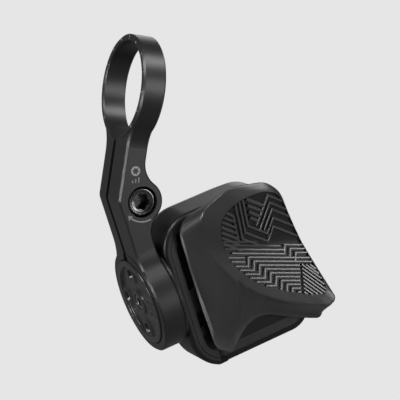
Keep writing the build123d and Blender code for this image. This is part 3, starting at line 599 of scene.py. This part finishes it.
def moulded(name, level, roughness, texture=0.000008, pit=0.00022, gloss=0.5):
    """Black moulded plastic with a spark-eroded grain and faint flow variation."""
    finish = Finish(name)
    fine = finish.grain(pit, 4.0)
    flow = finish.grain(0.009, 1.0)
    finish.drive("Base Color", finish.blend(grey(level * 0.82), grey(level * 1.2), flow))
    finish.drive("Roughness", fine * 0.1 + flow * 0.05 + (roughness - 0.075))
    finish.drive("Specular IOR Level", gloss)
    finish.relief(fine, texture)
    return finish


housing_plastic = moulded("housing_nylon", 0.006, 0.4)
deck_plastic = moulded("deck_nylon", 0.014, 0.36)
paddle_plastic = moulded("paddle_nylon", 0.034, 0.34, 0.000005, gloss=0.7)
plunger_plastic = moulded("plunger_acetal", 0.35, 0.4)
for node, finish in (("base_housing", housing_plastic), ("paddle_deck", deck_plastic),
                     ("paddle_carrier", deck_plastic), ("plunger_upper", plunger_plastic),
                     ("plunger_lower", plunger_plastic)):
    wear(node, finish)

# Thumb paddle ---------------------------------------------------------------------------------
# One moulding, faceted like a saddle: two facets meet in a soft valley across the thumb's path,
# and the side walls sweep down to a beaded skirt that arches over the housing's chin.
SKIRT_Y = -9.1
FACE_Y = -17.1
VALLEY_AT = (17.0, 8.0)
VALLEY_BASE_Y = -13.9
VALLEY_FALL = math.radians(15.5)
UPPER_FACET = math.tan(math.radians(13.0))
LOWER_FACET = math.tan(math.radians(8.0))
VALLEY_SOFT = 0.7
PADDLE_WALL = 1.4
CEILING_Y = -11.34
SKIRT_BEAD = [(0.0, 0.5), (0.35, 0.12), (0.75, 0.0)]
BORDER_FALL = 0.45
UPPER_BORDER_FALL = 1.5
# Each corner: the skirt along and up, the wall's upper edge along and up, how rounded, how hollow.
PADDLE_CORNERS = [
    (31.8, 18.6, 31.2, 20.5, 1.8, 0.0),
    (35.2, 15.8, 34.3, 16.8, 2.4, 0.0),
    (37.2, 4.0, 36.2, 4.6, 3.0, 0.0),
    (40.2, -16.2, 40.7, -14.4, 1.2, 0.0),
    (37.4, -19.8, 38.5, -15.7, 1.2, 0.2),
    (33.8, -18.2, 34.0, -13.9, 1.6, 0.6),
    (28.6, -15.4, 28.6, -11.1, 1.6, 0.9),
    (24.2, -12.9, 24.8, -8.6, 1.6, 1.1),
    (21.2, -12.4, 21.8, -6.4, 1.6, 1.2),
    (18.4, -13.2, 19.6, -4.2, 1.6, 1.2),
    (16.1, -14.8, 18.0, -2.0, 1.6, 0.9),
    (12.6, -18.2, 16.6, 0.6, 1.2, 0.0),
    (8.8, -15.5, 15.2, 3.7, 1.6, 0.0),
    (8.4, -4.0, 13.9, 6.8, 3.0, 0.0),
    (8.4, 8.0, 13.0, 12.0, 3.0, 0.0),
    (8.6, 15.2, 13.0, 17.2, 1.6, 0.0),
    (10.4, 17.9, 14.8, 20.0, 1.6, 0.0),
    (21.6, 20.0, 22.0, 22.8, 3.0, 0.0),
]
CORNER_STEPS = 6
RUN_STEPS = 5


def facet_y(along, up):
    """The depth of the paddle's face over a point, two facets blended in the valley."""
    across = (along - VALLEY_AT[0]) * math.sin(VALLEY_FALL) + (up - VALLEY_AT[1]) * math.cos(VALLEY_FALL)
    slope = UPPER_FACET if across > 0 else LOWER_FACET
    soft = math.hypot(across, VALLEY_SOFT) - VALLEY_SOFT * 0.5
    return max(FACE_Y, VALLEY_BASE_Y - soft * slope)


def border_fall(up):
    """How far the border falls from the tread to the wall, more above the valley than below it."""
    return BORDER_FALL + (UPPER_BORDER_FALL - BORDER_FALL) * step_up(up, 3.0, 11.0)


def paddle_outline(share):
    """The paddle's outline at a share of its height: rounded corners, hollow where it arches."""
    corners = []
    for skirt_x, skirt_z, edge_x, edge_z, rounding, hollow in PADDLE_CORNERS:
        edge_share = (facet_y(edge_x, edge_z) + border_fall(edge_z) - SKIRT_Y) / (FACE_Y - SKIRT_Y)
        corner = Vector((skirt_x, skirt_z)).lerp(Vector((edge_x, edge_z)), min(1.1, share / edge_share))
        corners.append((corner, rounding, hollow * math.sin(math.pi * min(1.0, share) ** 0.8)))
    arcs = []
    count = len(corners)
    for i, (corner, rounding, hollow) in enumerate(corners):
        before = corners[i - 1][0]
        after = corners[(i + 1) % count][0]
        reach_in = min(rounding, (before - corner).length * 0.45)
        reach_out = min(rounding, (after - corner).length * 0.45)
        start = corner + (before - corner).normalized() * reach_in
        stop = corner + (after - corner).normalized() * reach_out
        along = (after - before).normalized()
        inward = Vector((along.y, -along.x)) * hollow
        arc = []
        for k in range(CORNER_STEPS):
            t = k / (CORNER_STEPS - 1)
            arc.append(start * (1 - t) ** 2 + corner * (2 * t * (1 - t)) + stop * t * t + inward)
        arcs.append(arc)
    points = []
    for i, arc in enumerate(arcs):
        following = arcs[(i + 1) % count][0]
        points += arc + [arc[-1].lerp(following, k / RUN_STEPS) for k in range(1, RUN_STEPS)]
    return points


def inset(outline, distance):
    """The outline moved inwards, towards its own right-hand side."""
    count = len(outline)
    moved = []
    for i in range(count):
        along = (outline[(i + 1) % count] - outline[i - 1]).normalized()
        moved.append(outline[i] + Vector((along.y, -along.x)) * distance)
    return moved


def at_depth(outline, y):
    """The outline as a ring at one depth."""
    return [(p.x, y, p.y) for p in outline]


LEVELS = 40
levels = [paddle_outline(k / LEVELS) for k in range(LEVELS + 1)]


def wall_point(i, share):
    """Point i of the outline at any share of the paddle's height."""
    place = min(LEVELS - 1e-6, max(0.0, share * LEVELS))
    low = int(place)
    return levels[low][i].lerp(levels[low + 1][i], place - low)


def top_share(i):
    """The share of the height at which the wall meets the face at point i."""
    for k in range(LEVELS, 0, -1):
        share = k / LEVELS
        here = wall_point(i, share)
        if SKIRT_Y + (FACE_Y - SKIRT_Y) * share >= facet_y(here.x, here.y) + border_fall(here.y):
            return share
    return 0.0


def spread(outline):
    """Evens out a closed list of shares a little, so that neighbours run smoothly."""
    count = len(outline)
    return [(outline[i - 1] + outline[i] * 2 + outline[(i + 1) % count]) / 4 for i in range(count)]


tops = [top_share(i) for i in range(len(levels[0]))]
for _ in range(3):
    tops = spread(tops)


def wall_ring(part, shift=0.0):
    """A ring part of the way up the wall, moved inwards by shift."""
    points = [wall_point(i, tops[i] * part) for i in range(len(tops))]
    if shift:
        points = inset(points, shift)
    return [(p.x, SKIRT_Y + (FACE_Y - SKIRT_Y) * tops[i] * part, p.y) for i, p in enumerate(points)]


def inside(point, outline):
    """Whether a point lies inside a closed outline."""
    odd = False
    for i, b in enumerate(outline):
        a = outline[i - 1]
        if (a[1] > point[1]) != (b[1] > point[1]):
            if point[0] < (b[0] - a[0]) * (point[1] - a[1]) / (b[1] - a[1]) + a[0]:
                odd = not odd
    return odd


def gap_to(point, outline):
    """Distance from a point to a closed outline."""
    best = 1e9
    for i, b in enumerate(outline):
        a = Vector(outline[i - 1])
        run = Vector(b) - a
        share = min(1.0, max(0.0, (Vector(point) - a).dot(run) / max(run.length_squared, 1e-12)))
        best = min(best, (a + run * share - Vector(point)).length)
    return best


def border_ring(share, drop=0.0):
    """A ring on the border, at a share of the way from the wall to the tread."""
    ring = []
    for outer, inner in zip(wall_line, tread_ring):
        spot = outer.lerp(inner, share)
        ring.append((spot.x, facet_y(spot.x, spot.y) + border_fall(spot.y) * (1 - share) + drop, spot.y))
    return ring


def seen_from(middle, point, outline):
    """Where the line from a middle point out to another point crosses an outline."""
    out = point - middle
    for i, b in enumerate(outline):
        a = outline[i - 1]
        side = b - a
        cross = out.x * side.y - out.y * side.x
        if abs(cross) > 1e-9:
            t = ((a.x - middle.x) * side.y - (a.y - middle.y) * side.x) / cross
            u = ((a.x - middle.x) * out.y - (a.y - middle.y) * out.x) / cross
            if t > 0 and 0 <= u <= 1:
                return middle + out * t
    return point


def fill(build, outer, height, pitch=0.9):
    """A skin over the region inside outer, with its depth given by height."""
    points = [Vector(p) for p in outer]
    edges = [(i, (i + 1) % len(outer)) for i in range(len(outer))]
    xs = [p[0] for p in outer]
    zs = [p[1] for p in outer]
    row = 0
    z = min(zs)
    while z < max(zs):
        x = min(xs) + (pitch / 2 if row % 2 else 0.0)
        while x < max(xs):
            if inside((x, z), outer) and gap_to((x, z), outer) > pitch * 0.4:
                points.append(Vector((x, z)))
            x += pitch
        z += pitch * 0.87
        row += 1
    flat, _, triangles, *_ = delaunay_2d_cdt(points, edges, [], 0, 1e-6)
    kept = [tuple(t) for t in triangles if inside(sum((flat[i] for i in t), Vector((0, 0))) / 3, outer)]
    build.add([(p.x, height(p.x, p.y), p.y) for p in flat], kept)


TREAD_EDGE = [
    (18.8, 17.1), (21.7, 18.5), (25.4, 19.1), (29.8, 18.8), (33.0, 16.8), (34.1, 13.6), (35.0, 9.5),
    (36.0, 4.6), (37.0, -0.6), (38.2, -6.6), (38.9, -11.0), (38.2, -12.2), (34.4, -10.9), (29.9, -8.4),
    (25.7, -5.5), (22.4, -3.0), (20.2, -0.2), (18.5, 2.5), (17.3, 4.8), (16.7, 8.0), (16.8, 12.5),
    (17.4, 15.2)]
TREAD_DEPTH = 0.65
TREAD_MIDDLE = Vector((26.0, 4.5))


def smooth_outline(corners, rounding, steps=4):
    """A closed outline with every corner rounded."""
    points = []
    for i, corner in enumerate(corners):
        corner = Vector(corner)
        before = Vector(corners[i - 1]) - corner
        after = Vector(corners[(i + 1) % len(corners)]) - corner
        start = corner + before.normalized() * min(rounding, before.length * 0.48)
        stop = corner + after.normalized() * min(rounding, after.length * 0.48)
        for k in range(steps):
            t = k / (steps - 1)
            points.append(start * (1 - t) ** 2 + corner * (2 * t * (1 - t)) + stop * t * t)
    return points


tread_line = smooth_outline(TREAD_EDGE, 1.4)
wall_line = [wall_point(i, tops[i]) for i in range(len(tops))]
tread_ring = [seen_from(TREAD_MIDDLE, p, tread_line) for p in wall_line]
paddle = Build()
ceiling_share = (SKIRT_Y - CEILING_Y) / (SKIRT_Y - FACE_Y)
cavity_top = [wall_point(i, ceiling_share) for i in range(len(tops))]
rings = [at_depth(inset(cavity_top, PADDLE_WALL), CEILING_Y)]
rings.append(at_depth(inset(levels[0], PADDLE_WALL), SKIRT_Y))
for rise, shift in SKIRT_BEAD:
    rings.append(at_depth(inset(levels[0], shift), SKIRT_Y - rise))
rings += [wall_ring(part) for part in (0.14, 0.2, 0.28, 0.37, 0.46, 0.55, 0.64, 0.73, 0.82, 0.9, 0.95)]
rings += [border_ring(0.012, 0.14), border_ring(0.035, 0.04)]
rings += [border_ring(share) for share in (0.08, 0.25, 0.42, 0.6, 0.78, 0.94, 0.985)]
rings += [border_ring(1.0, 0.05), border_ring(1.0, TREAD_DEPTH)]
paddle.stack(rings, last_cap=False)
fill(paddle, [tuple(p) for p in tread_ring], lambda x, z: facet_y(x, z) + TREAD_DEPTH)
thumb_paddle = make_piece("thumb_paddle_shell", paddle.points, paddle.faces, paddle_plastic, "paddle",
                          in_pod, sharp=40)
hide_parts("thumb_paddle")

# Paddle tread ---------------------------------------------------------------------------------
# Raised ribs moulded into the two facets for grip: nested zigzags above the valley, and below it
# level ribs that step down a staircase. They stand flush with the paddle's border.
RIB_BASE = 0.05
RIB_PROFILE = ((-0.5, -RIB_BASE), (-0.32, 0.8), (-0.2, 1.0), (0.2, 1.0), (0.32, 0.8), (0.5, -RIB_BASE))
# How far the sheet of painted shade over the groove floor stands off that floor, in millimetres.
SHADE_SHEET_LIFT = 0.06


def heading(degrees):
    """A direction on the paddle's face, measured up from the ring's axis."""
    return Vector((math.cos(math.radians(degrees)), math.sin(math.radians(degrees))))


STEEP = Vector((0.0, -1.0))
SLOPE = heading(-41)
CLIMB = heading(56)
LEVEL = heading(-23)
DOWN = Vector((LEVEL.y, -LEVEL.x))
PATCH = heading(-55)
PATCH_AT = Vector((34.7, -3.0))
rib_limit = inset(tread_line, 0.12)


def pieces_inside(a, b):
    """The stretches of a straight run that lie inside the tread's outline."""
    cuts = [0.0, 1.0]
    run = b - a
    for i, d in enumerate(rib_limit):
        c = rib_limit[i - 1]
        side = d - c
        cross = run.x * side.y - run.y * side.x
        if abs(cross) > 1e-9:
            t = ((c.x - a.x) * side.y - (c.y - a.y) * side.x) / cross
            u = ((c.x - a.x) * run.y - (c.y - a.y) * run.x) / cross
            if 0 < t < 1 and 0 <= u <= 1:
                cuts.append(t)
    cuts.sort()
    kept = []
    for start, stop in zip(cuts, cuts[1:]):
        if (stop - start) * run.length > 0.25 and inside(a + run * (start + stop) / 2, rib_limit):
            kept.append((a + run * start, a + run * stop))
    return kept


def rib(build, path, width):
    """A raised rib along straight runs, cut off at the tread's outline."""
    path = [Vector(p) for p in path]
    chains = []
    for a, b in zip(path, path[1:]):
        for start, stop in pieces_inside(a, b):
            if chains and (chains[-1][-1] - start).length < 1e-6:
                chains[-1].append(stop)
            else:
                chains.append([start, stop])
    for chain in chains:
        fine = [chain[0]]
        for a, b in zip(chain, chain[1:]):
            count = max(1, math.ceil((b - a).length / 1.2))
            fine += [a.lerp(b, (k + 1) / count) for k in range(count)]
        rings = []
        for i, point in enumerate(fine):
            before = (point - fine[i - 1]).normalized() if i else (fine[1] - point).normalized()
            after = (fine[i + 1] - point).normalized() if i + 1 < len(fine) else before
            side = Vector((-(before + after).y, (before + after).x)).normalized()
            stretch = 1.0 / max(0.5, side.dot(Vector((-before.y, before.x))))
            ring = []
            for across, lift in RIB_PROFILE:
                here = point + side * (across * width * stretch)
                ring.append((here.x, facet_y(here.x, here.y) + TREAD_DEPTH * (1 - lift), here.y))
            rings.append(ring)
        build.stack(rings)


def spot(x, z):
    """A place on the paddle's face."""
    return Vector((x, z))


tread = Build()
for k, (x, low) in enumerate(((24.0, 11.6), (23.0, 10.2), (22.0, 8.9))):
    turn = spot(x, low)
    foot = turn + SLOPE * (5.9, 6.9, 5.0)[k]
    path = [spot(x, 21), turn, foot]
    if k < 2:
        crest = foot + CLIMB * (4.0, 3.8)[k]
        path += [crest, crest + SLOPE * 9]
    rib(tread, path, 0.78)
for crest, leg in ((spot(30.5, 17.2), 7.6), (spot(30.6, 15.2), 6.9), (spot(30.8, 13.3), 5.2)):
    rib(tread, [crest - CLIMB * leg, crest, crest + SLOPE * 8], 0.8)
rib(tread, [spot(31.6, 18.2), spot(31.6, 18.2) + SLOPE * 4], 0.7)
for top, length in ((18.9, 5.2), (17.2, 4.3), (15.5, 3.4), (13.9, 2.3)):
    start = spot(24.9, top - 0.4)
    rib(tread, [start, start + SLOPE * length], 1.0)
for k in range(7):
    start = spot(20.9, 15.6 - 1.55 * k)
    path = [start - SLOPE * 6, start]
    if k < 3:
        path.append(start + STEEP * (6.4 - 1.3 * k))
    rib(tread, path, 1.0 if k > 2 else 0.85)
STAIR_AT = spot(17.9, 3.4)
for k in range(-1, 10):
    step_at = STAIR_AT + LEVEL * (5.1 + 1.5 * k) + DOWN * (-1.4 + 0.92 * k)
    corner = step_at + DOWN * 2.2
    reach = 25 if k < 1 else (PATCH_AT.x - step_at.x - 0.3 * k - 0.3) / LEVEL.x
    rib(tread, [step_at + LEVEL * reach, step_at, corner, corner - LEVEL * 25], 0.7)
for rise, reach in ((1.2, 2.7), (2.15, 2.5), (4.16, 13.3), (5.08, 12.0), (6.0, 5.6)):
    start = STAIR_AT - DOWN * rise
    rib(tread, [start - LEVEL * 6, start + LEVEL * reach], 0.7)
for k in range(3):
    step_at = STAIR_AT + LEVEL * (13.2 + 1.5 * k) + DOWN * (-5.4 + 0.92 * k)
    corner = step_at + DOWN * 2.2
    rib(tread, [step_at + LEVEL * 20, step_at, corner, corner - LEVEL * (14 if k == 0 else 0.3)], 0.7)
for k in range(-2, 8):
    start = PATCH_AT + spot(-0.28, -0.96) * (0.95 * k) if k > 0 else PATCH_AT - LEVEL * (1.1 * k)
    rib(tread, [start, start + PATCH * 9], 0.72)
# The ribs get a paler copy of the paddle's nylon, which is painted light: they are one moulding with the
# paddle, and the paler tone stands in for light on their flanks.
rib_plastic_painted_light = moulded("tread_rib_nylon_painted_light", 0.06, 0.25, 0.000003, gloss=0.8)
make_piece("paddle_tread_ribs", tread.points, tread.faces, rib_plastic_painted_light, "paddle", in_pod,
           sharp=30)

# A thin near-black sheet laid over the groove floor between the ribs is painted shade: the floor is moulded
# in the paddle's own nylon, and only shade makes it look this dark.
shade_sheet_edge = inset(tread_line, SHADE_SHEET_LIFT)
groove_shade_sheet = Build()
shade_sheet_rings = []
for lift in (SHADE_SHEET_LIFT, -SHADE_SHEET_LIFT):
    fill(groove_shade_sheet, [tuple(p) for p in shade_sheet_edge], lambda x, z: facet_y(x, z) + TREAD_DEPTH - lift)
    shade_sheet_rings.append([(p.x, facet_y(p.x, p.y) + TREAD_DEPTH - lift, p.y) for p in shade_sheet_edge])
groove_shade_sheet.stack(shade_sheet_rings, first_cap=False, last_cap=False)
groove_shade_plastic = moulded("tread_groove_painted_shade", 0.003, 0.55)
make_piece("paddle_tread_painted_shade", groove_shade_sheet.points, groove_shade_sheet.faces, groove_shade_plastic, "paddle",
           in_pod)

# Electronics, pins, seals and battery ---------------------------------------------------------
# Turned pins, small screws, the board and its parts sit inside the shell; silicone seals close
# it. The cell is nickel plated, its contacts are spring steel.
rubber = Finish("silicone_rubber")
rubber.drive("Base Color", rubber.blend(grey(0.012), grey(0.03), rubber.grain(0.002)))
rubber.drive("Roughness", rubber.grain(0.0003) * 0.15 + 0.5)
rubber.relief(rubber.grain(0.00025, 3.0), 0.00001)
plated = Finish("nickel_plate", Metallic=1.0)
plated.drive("Base Color", plated.blend(grey(0.5), grey(0.62), plated.grain(0.003)))
plated.drive("Roughness", plated.grain(0.0006, stretch=(1.0, 8.0, 1.0)) * 0.15 + 0.18)
board_finish = Finish("board_laminate", Roughness=0.4)
BOARD_DARK = (0.005, 0.03, 0.012)
BOARD_PALE = (0.01, 0.06, 0.025)
board_finish.drive("Base Color", board_finish.blend(BOARD_DARK, BOARD_PALE, board_finish.grain(0.0008)))
light_pipe = Finish("light_pipe", Roughness=0.2)
light_pipe.drive("Base Color", light_pipe.blend(grey(0.35), grey(0.5), light_pipe.grain(0.001)))
light_pipe.drive("Coat Weight", 0.6)
for finish, nodes in ((small_steel, ("deck_screws", "paddle_screws", "pivot_pin")),
                      (rubber, ("deck_gasket", "plunger_seals", "door_seal")),
                      (plated, ("coin_cell", "battery_contact_negative", "battery_contact_positive",
                                "radio_module")),
                      (board_finish, ("circuit_board",)),
                      (light_pipe, ("status_light",)),
                      (housing_plastic, ("battery_holder", "switch_upper", "switch_lower", "button_switch"))):
    for node in nodes:
        wear(node, finish)

# Function button ------------------------------------------------------------------------------
# A moulded rubber cap on the pod's far end, dished for the fingertip. Its flange inside the shell
# keeps it from falling out.
BUTTON_AT = (4.0, 6.5)
BUTTON_TURNS = 64
BUTTON_PROFILE = [
    (3.3, 33.68), (3.3, 34.48), (2.6, 34.48), (2.6, 36.7), (2.52, 36.95), (2.3, 37.12), (2.0, 37.2),
    (1.8, 37.17), (1.6, 37.06), (1.2, 36.98), (0.5, 36.94)]


def button_ring(radius, x):
    """A ring round the button's axis."""
    turns = [2 * math.pi * i / BUTTON_TURNS for i in range(BUTTON_TURNS)]
    return [(x, BUTTON_AT[0] + radius * math.cos(a), BUTTON_AT[1] + radius * math.sin(a)) for a in turns]


button = Build()
button.stack([button_ring(radius, x) for radius, x in BUTTON_PROFILE])
function_button = make_piece("function_button_dished", button.points, button.faces, rubber, "button",
                             in_pod)
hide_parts("function_button")

# Battery door ---------------------------------------------------------------------------------
# A moulded disc with two bayonet lugs and a groove for its seal. The face has a slot for a coin,
# a ring of grip ridges and a curved arrow that shows which way it opens.
DOOR_AT = (20.0, -1.0)
DOOR_FACE = 13.5
DOOR_EDGE = [(11.3, 13.46), (11.38, 13.36), (11.4, 13.2), (11.4, 12.77), (10.4, 12.77), (10.4, 11.73)]
DOOR_LUGS = [(11.4, 11.73, "lugs"), (11.4, 10.8, "lugs"), (11.4, 10.79, None), (11.4, 10.3, None)]
DOOR_SLOT_HALF = 6.4
DOOR_SLOT_DEPTH = 1.3
DOOR_MARK_DEPTH = 0.25
GRIP_RIDGES = 48
DOOR_ARROW_R = 8.4
LUG_R = 12.3
LUG_HALF_DEG = 13.0


def door_relief(radius, angle):
    """How far the door's face stands below its general level, in millimetres."""
    x = radius * math.cos(angle)
    z = radius * math.sin(angle)
    to_slot = math.hypot(max(0.0, abs(x) - DOOR_SLOT_HALF), z)
    low = DOOR_SLOT_DEPTH * (1 - step_up(to_slot, 0.95, 1.15))
    if 9.7 < radius < 10.9:
        low += DOOR_MARK_DEPTH * step_up(math.cos(GRIP_RIDGES * angle), -0.2, 0.4)
    degrees = math.degrees(angle)
    half = 0.0
    if 35 < degrees < 62:
        half = 0.22
    elif 62 <= degrees < 72:
        half = 0.8 * (72 - degrees) / 10
    if half:
        low += DOOR_MARK_DEPTH * (1 - step_up(abs(radius - DOOR_ARROW_R) - half, 0.0, 0.12))
    return low


def door_ring(radius, y, shape=None):
    """A ring round the door's axis: plain, with the face's relief, or with the two lugs."""
    points = []
    for i in range(HUB_TURNS * 2):
        a = math.pi * i / HUB_TURNS
        low = door_relief(radius, a) if shape == "face" else 0.0
        off = abs((math.degrees(a) + 90) % 180 - 90)
        r = LUG_R if shape == "lugs" and off < LUG_HALF_DEG else radius
        points.append((DOOR_AT[0] + r * math.cos(a), y - low, DOOR_AT[1] + r * math.sin(a)))
    return points


door = Build()
door_rings = [door_ring(0.15 + 0.14 * k, DOOR_FACE, "face") for k in range(79)]
door_rings += [door_ring(r, y) for r, y in DOOR_EDGE]
door_rings += [door_ring(r, y, shape) for r, y, shape in DOOR_LUGS]
door.stack(door_rings)
battery_door = make_piece("battery_door_moulded", door.points, door.faces, housing_plastic, "door",
                          in_pod, sharp=35)
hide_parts("battery_door")

low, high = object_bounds()
